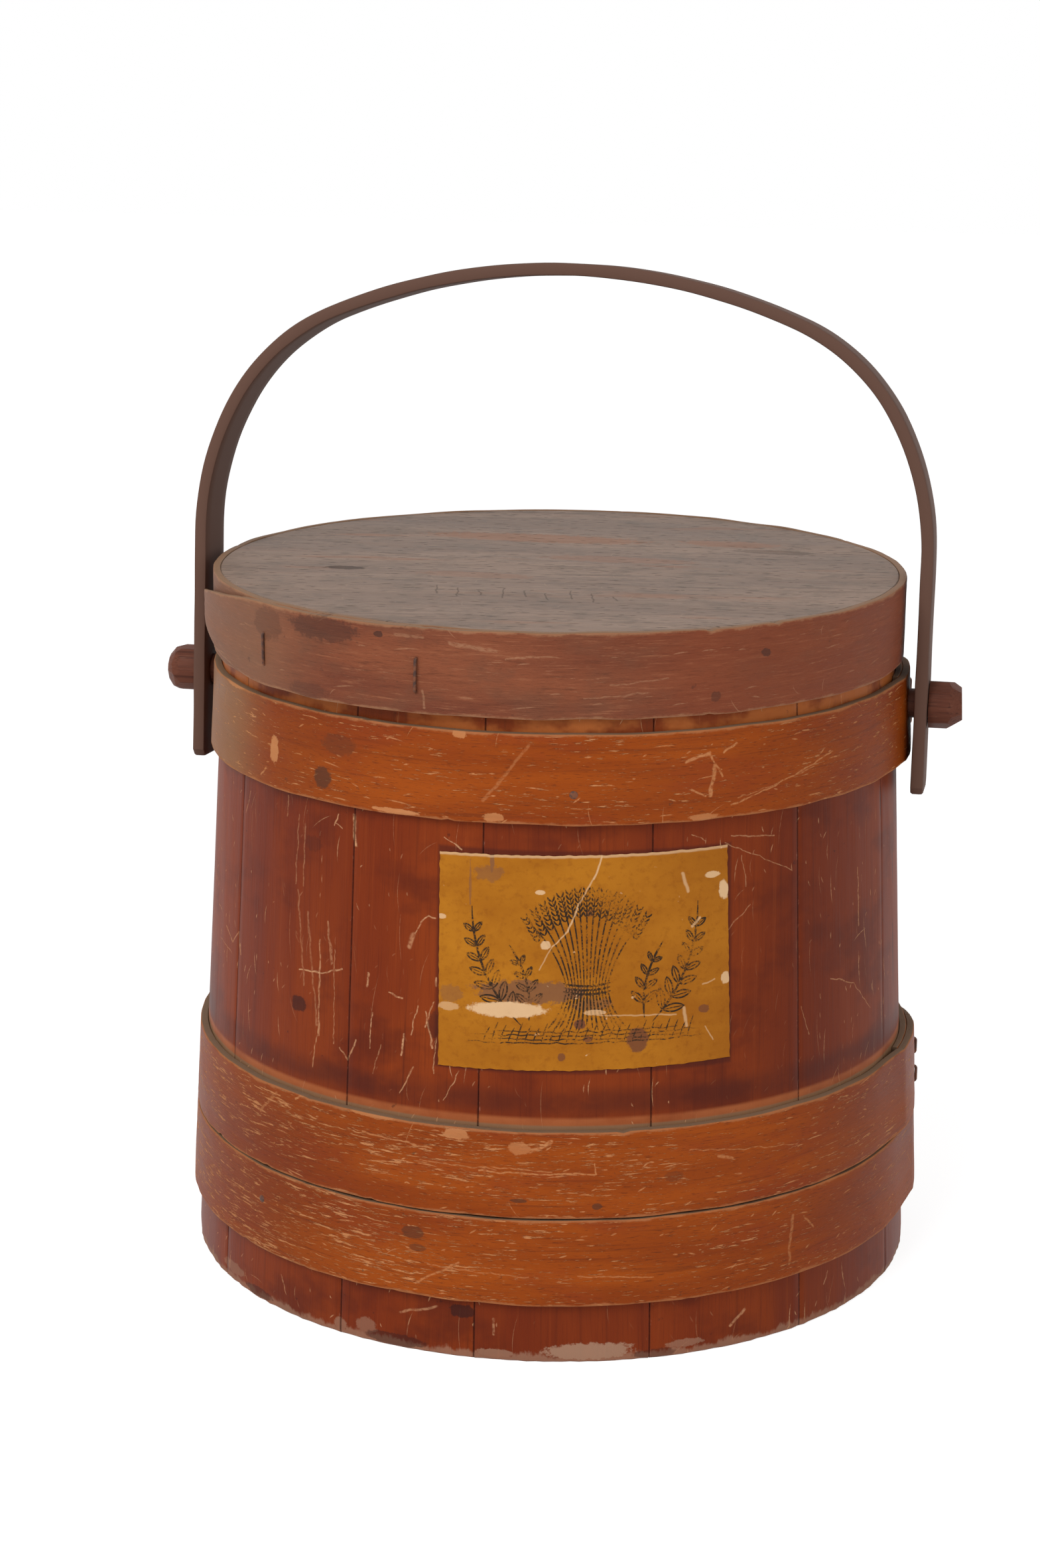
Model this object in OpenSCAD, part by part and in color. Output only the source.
// Firkin bucket: a tapered, staved wooden pail with three bentwood hoops,
// a bentwood bail on two wooden pegs and a lift-off lid.
// The origin is the centre of the foot, +Z is up and the bail turns about X.
// The label looks towards -Y. All sizes are in millimetres.

/* [Body] */
// Outside radius of the staves at the foot
base_r = 152.4; // [140:0.2:165]
// Outside radius of the staves at the rim
rim_r = 138.5; // [128:0.5:148]
// Height of the staves
body_h = 276.8; // [262:0.2:300]
// Thickness of the staves
stave_t = 12; // [9:0.5:16]
// Gap between two staves, where the seam shows
seam = 0.12; // [0.05:0.01:0.4]
// How unlike the staves are in width, where 0 makes them all alike
unevenness = 1; // [0:0.1:1.3]
// Width of the tongue along one edge of each stave
tongue_w = 2; // [1:0.25:3]
// Thickness of that tongue
tongue_t = 3.2; // [2:0.2:5]

/* [Bottom head] */
// Height of the underside of the head above the foot
head_z = 23; // [12:0.5:40]
// Thickness of the head
head_t = 12; // [8:0.5:16]
// Thickness of the head's edge, which sits in the croze
head_edge_t = 5; // [3:0.5:7]
// Depth of the croze, the groove that holds the head
croze_d = 4; // [2:0.5:6]

/* [Hoops] */
// Width of each hoop
hoop_h = 35.2; // [25:0.2:42]
// Thickness of each hoop
hoop_t = 3.1; // [2:0.1:4]
// Distance from the rim of the staves down to the top hoop
top_hoop_drop = 27.2; // [27:0.2:40]
// Height of the lower edge of the bottom hoop
bottom_hoop_z = 24.2; // [10:0.2:44]
// How far the ends of a hoop overlap, in degrees
hoop_lap = 24; // [20:1:60]

/* [Lid] */
// Height of the lid's rim
lid_h = 33.3; // [26:0.1:38]
// Thickness of the rim's strip
lid_rim_t = 3; // [2:0.1:4]
// Thickness of the lid's board
board_t = 11; // [7:0.5:15]
// How far the ends of the rim's strip overlap, in degrees
lid_lap = 80; // [64:1:110]
// How far the tip of the rim's lap has sprung outwards
lap_spring = 2.3; // [0:0.1:3]

/* [Bail and pegs] */
// Distance from the top hoop's upper edge down to the pegs
peg_drop = 12.9; // [9:0.1:16]
// Width of the bail's strip
bail_w = 29; // [22:0.5:36]
// Thickness of the bail's strip
bail_t = 5.2; // [3.5:0.1:7]
// Length of the bail's legs below the pegs
bail_tail = 36; // [18:0.5:45]
// Length of the straight part of the legs above the pegs
bail_leg = 59.5; // [50:0.5:80]
// Radius of the lower part of each shoulder
shoulder_r = 115; // [100:1:125]
// Radius of the upper part of each shoulder
crown_r = 85; // [70:1:98]
// How far the bail leans to the back at rest, in degrees
bail_lean = 5; // [0:0.5:8]
// Play between the lapped hoop and the bail's legs
bail_play = 2.1; // [1.6:0.1:4]
// Radius of the pegs' shanks
peg_r = 6; // [4:0.25:7]
// Radius of the pegs' heads
peg_head_r = 9.8; // [8.5:0.1:12]
// Length of the pegs' heads
peg_head_l = 13.7; // [9:0.1:18]

/* [Fastenings] */
// Radius of the wire in the staples
wire_r = 0.7; // [0.5:0.05:0.9]
// Length of the staples along the lid's rim
lid_staple_l = 14; // [8:0.5:18]
// Length of the staples in the hoops
hoop_staple_l = 8; // [5:0.5:10]
// Number of nails through the lid's rim into its board
lid_nail_count = 9; // [5:1:14]
// Half the width of the square heads of the lid's nails
lid_nail_half = 1.3; // [1:0.1:1.8]
// Radius of the heads of the hoops' nails
hoop_nail_r = 1.7; // [1.2:0.1:2.5]

/* [Label] */
// Width of the paper label, measured round the body
label_w = 128; // [60:1:150]
// Height of the paper label
label_h = 84.4; // [40:0.4:100]
// Distance from the top hoop down to the label
label_drop = 10.7; // [2:0.1:20]
// Thickness of the paper
label_t = 0.3; // [0.2:0.05:0.6]

/* [Hidden] */
$fn = 64;

// Colours of the woods, the iron and the paper
stave_colour = [0.50, 0.19, 0.09];
hoop_colour = [0.62, 0.32, 0.12];
head_colour = [0.60, 0.42, 0.26];
rim_colour = [0.43, 0.22, 0.14];
board_colour = [0.42, 0.35, 0.30];
bail_colour = [0.34, 0.19, 0.15];
iron_colour = [0.23, 0.18, 0.17];
paper_colour = [0.70, 0.45, 0.10];

// Clearances
glue = 0.05;       // between pieces of one body that touch
hoop_gap = 0.3;    // between the two lower hoops
lid_clear = 0.45;  // between the lid's rim and the staves
lid_seat = 0.3;    // between the lid's board and the rim of the staves
peg_clear = 0.08;  // between a peg and its hole in the bail
head_play = 0.4;   // between a peg's head and the bail
head_fit = 0.3;    // between the bottom head and the staves
label_skin = 0.1;  // between the paper label and the staves
past = 2;          // how far a drill runs past the wood

// Staves: how much wider or narrower than the mean each one is, in degrees
stave_offsets = [0.3, -0.2, 1.8, -2.2, 1.3, -0.7, -0.2, 0.3, -0.6, 3.0, -3.8, 0.4, 0.5, 0.1];
stave_count = len(stave_offsets);
right_ear = 0;
left_ear = stave_count / 2;
ear_shift = -0.5;
ease = 0.8;
foot_bevel = 2;
rim_bevel = 1.5;
groove_share = 1.15;
tongue_root = 1;

function stave_angle(i) = 360 / stave_count + unevenness * stave_offsets[i];
function sum_to(i) = i <= 0 ? 0 : sum_to(i - 1) + stave_angle(i - 1);
function stave_start(i) = sum_to(i) - stave_angle(right_ear) / 2 + ear_shift;
function outer_r(z) = base_r + (rim_r - base_r) * z / body_h;
function inner_r(z) = outer_r(z) - stave_t;
function arc_angle(length, radius) = length / radius * 180 / PI;

croze_lo = head_z + (head_t - head_edge_t) / 2 - glue;
croze_hi = croze_lo + head_edge_t + 2 * glue;

// Hoops: the strips are bent over a whole number of equal steps
step = 4;
top_hoop_z = body_h - top_hoop_drop - hoop_h;
middle_hoop_z = bottom_hoop_z + hoop_h + hoop_gap;
hoop_blunt = 0.75;
hoop_feather = 12;
hoop_spring = 0.3;
tip_left = 0.45;
hoop_tongue = 10;
hoop_tip_lo = 9;
hoop_tip_hi = 3;
top_lap_at = -4;
middle_lap_at = -8;
bottom_lap_at = 0;

// Lid
lid_top_z = body_h + lid_seat + board_t;
lid_z = lid_top_z - lid_h;
lid_in_r = outer_r(lid_z) + lid_clear;
lid_lap_at = 84;
lid_blunt = 0.3;
lid_feather = 28;
lid_tongue = 33;
lid_tip_lo = 11.9;
lid_tip_hi = 9.2;
board_sink = 0.2;
board_ease = 0.6;
nail_z = lid_top_z - board_t / 2;
lid_nail_l = 15;
lid_nail_shank = 0.9;
lid_nail_head = 1;
first_nail = -79;
nail_sink = 0.1;
lid_staple_at = [for (way = [18, lid_lap - lid_tongue + 1]) -lid_lap_at - way];
lid_staple_up = 15;
lid_staple_z = lid_z + lid_staple_up;
lid_staple_r = lid_in_r + 2 * lid_rim_t + glue;

// Bail and pegs
pivot_z = top_hoop_z + hoop_h - peg_drop;
bail_in = outer_r(pivot_z) + 2 * (hoop_t + glue) + bail_play;
bail_mid = bail_in + bail_t / 2;
shoulder_end = 29;
crown_end = 67;
top_r = crown_r + (bail_mid - shoulder_r + (shoulder_r - crown_r) * cos(shoulder_end)) / cos(crown_end);
head_face = bail_in + bail_t + head_play;
head_taper = 0.42;
head_tip = 0.63;
peg_through = 0.5;
peg_end = inner_r(pivot_z) - peg_through;
tail_corner = 3;

// Nails in the hoops: angle round the body, height above the hoop's lower edge
top_nails = [[-78, 12], [62, 18], [146, 15]];
middle_nails = [[50, 16], [110, 20], [170, 14]];
bottom_nails = [[-130, 21], [74, 15], [150, 18]];
hoop_nail_l = 11;
hoop_nail_shank = 0.8;
hoop_nail_head = 0.6;

// Staples in the hoops stand one above the other near the end of each lap
hoop_staple_way = hoop_lap - hoop_tongue;
hoop_staple_in = 11.3;
lap_rise = 0.2;
function hoop_staple_heights(z0) = [z0 + hoop_staple_in, z0 + hoop_h - hoop_staple_in];
function lapped_r(z) = outer_r(z) + 2 * (hoop_t + glue) + lap_rise;

label_at = -75.8;
label_z = top_hoop_z - label_drop - label_h;

// One strip of wood bent once round and lapped over its own start.
// s is the way along the strip in degrees, from the inner end at 0 to the tip of the tongue.
// r_lo and r_hi are the radii of the seat at the strip's lower and upper edges.
// tongue is the length of the narrowed end, tip_lo and tip_hi what it loses below and above,
// blunt the share of its thickness that the inner end keeps, and spring the lift of the tip.
module bent_strip(start, lap, r_lo, r_hi, z_lo, z_hi, t, tongue, tip_lo, tip_hi, blunt, feather, spring) {
  total = 360 + lap;
  flat = 1 / cos(step / 2);
  cut = t / 5;
  function thick(s) =
    t * min(1, blunt + (1 - blunt) * s / feather, tip_left + (1 - tip_left) * (total - s) / tongue);
  lift0 = t * blunt + glue;
  ramp = acos(r_hi / (r_hi + lift0));
  function lift(s) =
    s >= 360 ? thick(s - 360) + glue
    : s > 360 - ramp ? r_hi / cos(s - 360 + ramp) - r_hi
    : 0;
  function end_share(s) = max(0, (s - total + tongue) / tongue);
  function sprung(s) = spring * pow(end_share(s), 2);
  function seat(s, r) = (r + lift(s) + sprung(s)) * flat;
  function section(s) =
    let (zl = z_lo + tip_lo * pow(end_share(s), 1.5), zh = z_hi - tip_hi * pow(end_share(s), 1.5))
    let (rl = seat(s, r_lo + (r_hi - r_lo) * (zl - z_lo) / (z_hi - z_lo)))
    let (rh = seat(s, r_lo + (r_hi - r_lo) * (zh - z_lo) / (z_hi - z_lo)))
    let (w = thick(s))
    [[rl, zl], [rl + w - cut, zl], [rl + w, zl + cut], [rh + w, zh - cut], [rh + w - cut, zh], [rh, zh]];
  stations = concat([for (s = [0:step:total - step / 2]) s], [total]);
  corners = len(section(0));
  last = len(stations) - 1;
  points = [
    for (s = stations) for (p = section(s))
      [p[0] * cos(start + s), p[0] * sin(start + s), p[1]]
  ];
  sides = [
    for (i = [0:last - 1]) for (j = [0:corners - 1])
      let (a = i * corners + j, b = i * corners + (j + 1) % corners)
      for (f = [[a, b, b + corners], [a, b + corners, a + corners]]) f
  ];
  first_cap = [for (j = [corners - 1:-1:0]) j];
  last_cap = [for (j = [0:corners - 1]) last * corners + j];
  polyhedron(points, concat(sides, [first_cap, last_cap]));
}

// A wire staple driven inwards at radius r, with its crown upright on the wood
module staple(angle, r, z, length, depth) {
  rotate([0, 0, angle]) translate([r + wire_r + glue, 0, z]) {
    translate([0, 0, -length / 2]) cylinder(h = length, r = wire_r);
    for (side = [-1, 1])
      translate([0, 0, side * (length / 2 - wire_r)]) rotate([0, -90, 0])
        cylinder(h = depth, r = wire_r - glue);
  }
}

// The two holes of a staple
module staple_holes(angle, r, z, length, depth) {
  rotate([0, 0, angle]) translate([r + past, 0, z])
    for (side = [-1, 1])
      translate([0, 0, side * (length / 2 - wire_r)]) rotate([0, -90, 0])
        cylinder(h = depth + 2 * past, r = wire_r);
}

// A round nail driven inwards, its head flush with radius r
module round_nail(angle, r, z, grow) {
  rotate([0, 0, angle]) translate([r, 0, z]) rotate([0, -90, 0]) {
    translate([0, 0, -grow]) cylinder(h = hoop_nail_head + 2 * grow, r = hoop_nail_r + grow);
    cylinder(h = hoop_nail_l + grow, r = hoop_nail_shank + grow);
  }
}

// A square-headed nail driven inwards, its head flush with radius r
module square_nail(angle, r, z, grow) {
  half = lid_nail_half + grow;
  rotate([0, 0, angle]) translate([r, 0, z]) rotate([0, -90, 0]) {
    translate([-half, -half, -grow]) cube([2 * half, 2 * half, lid_nail_head + 2 * grow]);
    cylinder(h = lid_nail_l + grow, r = lid_nail_shank + grow);
  }
}

// The nails of one hoop, whose lower edge is at height z0
module nails_of(nails, z0, grow) {
  for (n = nails)
    round_nail(n[0], outer_r(z0 + n[1]) + glue + hoop_t - nail_sink, z0 + n[1], grow);
}

module all_hoop_nails(grow) {
  nails_of(top_nails, top_hoop_z, grow);
  nails_of(middle_nails, middle_hoop_z, grow);
  nails_of(bottom_nails, bottom_hoop_z, grow);
}

module lid_nails_at(grow) {
  for (i = [0:lid_nail_count - 1])
    square_nail(first_nail + i * 360 / lid_nail_count, lid_in_r + lid_rim_t - nail_sink, nail_z, grow);
}

// A round passage for a peg's shank, through the whole width of the bucket
module peg_passage(grow) {
  translate([0, 0, pivot_z]) rotate([0, 90, 0])
    cylinder(h = 4 * base_r, r = peg_r + grow, center = true);
}

// Section of the wall, with the croze near its foot
module wall_section() {
  polygon([
    [outer_r(0) - ease, 0], [outer_r(ease), ease],
    [outer_r(body_h - ease), body_h - ease], [outer_r(body_h) - ease, body_h],
    [inner_r(body_h) + rim_bevel, body_h], [inner_r(body_h - rim_bevel), body_h - rim_bevel],
    [inner_r(croze_hi), croze_hi], [inner_r(croze_hi) + croze_d, croze_hi],
    [inner_r(croze_lo) + croze_d, croze_lo], [inner_r(croze_lo), croze_lo],
    [inner_r(foot_bevel), foot_bevel], [inner_r(0) + foot_bevel, 0]
  ]);
}

// Section of the tongue in the middle of the wall, or of its groove, which is wider by grow
// and runs out past the foot and the rim by over
module tongue_section(grow, over) {
  half = tongue_t / 2 + grow;
  top = body_h - rim_bevel + over;
  foot = -over;
  function middle_r(z) = outer_r(z) - stave_t / 2;
  polygon([
    [middle_r(foot) - half, foot], [middle_r(foot) + half, foot],
    [middle_r(top) + half, top], [middle_r(top) - half, top]
  ]);
}

module stave(i) {
  gap = arc_angle(seam, base_r);
  tongue_a = arc_angle(tongue_w, base_r);
  a0 = stave_start(i);
  width = stave_angle(i) - gap;
  color(stave_colour) difference() {
    union() {
      rotate([0, 0, a0]) rotate_extrude(angle = width) wall_section();
      rotate([0, 0, a0 + width - tongue_root]) rotate_extrude(angle = tongue_root + tongue_a)
        tongue_section(0, 0);
    }
    rotate([0, 0, a0 - tongue_root]) rotate_extrude(angle = tongue_root + groove_share * tongue_a)
      tongue_section(2 * glue, 2 * rim_bevel);
    if (i == right_ear || i == left_ear) peg_passage(glue);
    for (set = [[top_nails, top_hoop_z], [middle_nails, middle_hoop_z], [bottom_nails, bottom_hoop_z]])
      for (n = set[0])
        if ((n[0] - a0 + 720) % 360 < width) nails_of([n], set[1], glue);
  }
}

module bottom_head() {
  wall_r = inner_r(croze_hi) - head_fit;
  edge_r = inner_r(croze_hi) + croze_d - head_fit;
  bevel = (head_t - head_edge_t) / 2;
  color(head_colour) rotate_extrude() polygon([
    [0, head_z], [wall_r - bevel, head_z],
    [wall_r, head_z + bevel], [edge_r, head_z + bevel],
    [edge_r, head_z + bevel + head_edge_t], [wall_r, head_z + bevel + head_edge_t],
    [wall_r - bevel, head_z + head_t], [0, head_z + head_t]
  ]);
}

// One hoop, with the holes for its nails and its staples
module hoop(z0, lap_at, nails) {
  color(hoop_colour) difference() {
    bent_strip(
      start = lap_at, lap = hoop_lap, r_lo = outer_r(z0) + glue, r_hi = outer_r(z0 + hoop_h) + glue,
      z_lo = z0, z_hi = z0 + hoop_h, t = hoop_t, tongue = hoop_tongue,
      tip_lo = hoop_tip_lo, tip_hi = hoop_tip_hi,
      blunt = hoop_blunt, feather = hoop_feather, spring = hoop_spring
    );
    if (z0 < pivot_z && z0 + hoop_h > pivot_z) peg_passage(glue);
    nails_of(nails, z0, glue);
    for (z = hoop_staple_heights(z0))
      staple_holes(lap_at + hoop_staple_way, lapped_r(z), z, hoop_staple_l, 2 * hoop_t);
  }
}

module hoop_staples(z0, lap_at) {
  color(iron_colour)
    for (z = hoop_staple_heights(z0))
      staple(lap_at + hoop_staple_way, lapped_r(z), z, hoop_staple_l, 2 * hoop_t);
}

module top_hoop() {
  hoop(top_hoop_z, top_lap_at, top_nails);
}

module middle_hoop() {
  hoop(middle_hoop_z, middle_lap_at, middle_nails);
}

module bottom_hoop() {
  hoop(bottom_hoop_z, bottom_lap_at, bottom_nails);
}

module hoop_nails() {
  color(iron_colour) all_hoop_nails(0);
}

// Peg on the +X side: a whittled head outside the bail and a shank through to the inside
module peg_right() {
  color(bail_colour) translate([0, 0, pivot_z]) rotate([0, 90, 0]) rotate_extrude() polygon([
    [0, peg_end], [peg_r, peg_end], [peg_r, head_face], [peg_head_r - ease, head_face],
    [peg_head_r, head_face + ease],
    [peg_head_r, head_face + peg_head_l * (1 - head_taper)],
    [peg_head_r * head_tip, head_face + peg_head_l], [0, head_face + peg_head_l]
  ]);
}

module peg_left() {
  mirror([1, 0, 0]) peg_right();
}

function arc_points(x, z, r, from, to, count) = [
  for (i = [0:count - 1])
    let (a = from + (to - from) * i / count)
    [x + r * cos(a), z + r * sin(a)]
];

// Half of the bail's outline at a distance off from its middle line, from a leg's end to the top
function bail_half(off) =
  let (x1 = bail_mid - shoulder_r, x2 = x1 + (shoulder_r - crown_r) * cos(shoulder_end))
  let (z2 = bail_leg + (shoulder_r - crown_r) * sin(shoulder_end))
  let (z3 = z2 - (top_r - crown_r) * sin(crown_end))
  concat(
    [[bail_mid + off, -bail_tail]],
    arc_points(x1, bail_leg, shoulder_r + off, 0, shoulder_end, 10),
    arc_points(x2, z2, crown_r + off, shoulder_end, crown_end, 12),
    arc_points(0, z3, top_r + off, crown_end, 90, 9),
    [[0, z3 + top_r + off]]
  );

// The whole outline from the right leg's end over the top to the left leg's end
function bail_line(off) =
  let (half = bail_half(off), n = len(half))
  concat(half, [for (i = [n - 2:-1:0]) [-half[i][0], half[i][1]]]);

module bail() {
  outside = bail_line(bail_t / 2);
  inside = bail_line(-bail_t / 2);
  count = len(inside);
  color(bail_colour) translate([0, 0, pivot_z]) rotate([-bail_lean, 0, 0]) difference() {
    translate([0, bail_w / 2, 0]) rotate([90, 0, 0]) linear_extrude(bail_w)
      polygon(concat(outside, [for (i = [count - 1:-1:0]) inside[i]]));
    rotate([0, 90, 0]) cylinder(h = 3 * base_r, r = peg_r + peg_clear, center = true);
    for (side = [-1, 1])
      translate([0, side * bail_w / 2, -bail_tail]) rotate([45, 0, 0])
        cube([3 * base_r, tail_corner * sqrt(2), tail_corner * sqrt(2)], center = true);
  }
}

module lid_board() {
  r = lid_in_r - glue;
  top = board_t - board_sink;
  color(board_colour) difference() {
    translate([0, 0, lid_top_z - board_t]) rotate_extrude()
      polygon([[0, 0], [r, 0], [r, top - board_ease], [r - ease, top], [0, top]]);
    lid_nails_at(glue);
  }
}

// The strip laps the other way round from the hoops, with its tongue on the left
module lid_rim() {
  color(rim_colour) difference() {
    mirror([0, 1, 0]) bent_strip(
      start = lid_lap_at, lap = lid_lap, r_lo = lid_in_r, r_hi = lid_in_r,
      z_lo = lid_z, z_hi = lid_top_z, t = lid_rim_t, tongue = lid_tongue,
      tip_lo = lid_tip_lo, tip_hi = lid_tip_hi,
      blunt = lid_blunt, feather = lid_feather, spring = lap_spring
    );
    lid_nails_at(glue);
    for (a = lid_staple_at)
      staple_holes(a, lid_staple_r, lid_staple_z, lid_staple_l, 2 * lid_rim_t);
  }
}

module lid_staples() {
  color(iron_colour)
    for (a = lid_staple_at)
      staple(a, lid_staple_r, lid_staple_z, lid_staple_l, 2 * lid_rim_t);
}

module lid_nails() {
  color(iron_colour) lid_nails_at(0);
}

module paper_label() {
  width = arc_angle(label_w, outer_r(label_z + label_h / 2));
  top = label_z + label_h;
  function back_r(z) = outer_r(z) + label_skin;
  color(paper_colour) rotate([0, 0, label_at - width / 2]) rotate_extrude(angle = width) polygon([
    [back_r(label_z), label_z], [back_r(label_z) + label_t, label_z],
    [back_r(top) + label_t, top], [back_r(top), top]
  ]);
}

stave(0);  // stave_01
stave(1);  // stave_02
stave(2);  // stave_03
stave(3);  // stave_04
stave(4);  // stave_05
stave(5);  // stave_06
stave(6);  // stave_07
stave(7);  // stave_08
stave(8);  // stave_09
stave(9);  // stave_10
stave(10);  // stave_11
stave(11);  // stave_12
stave(12);  // stave_13
stave(13);  // stave_14
bottom_head();
top_hoop();
middle_hoop();
bottom_hoop();
hoop_staples(top_hoop_z, top_lap_at);  // top_hoop_staples
hoop_staples(middle_hoop_z, middle_lap_at);  // middle_hoop_staples
hoop_staples(bottom_hoop_z, bottom_lap_at);  // bottom_hoop_staples
hoop_nails();
peg_left();
peg_right();
bail();
lid_board();
lid_rim();
lid_staples();
lid_nails();
paper_label();
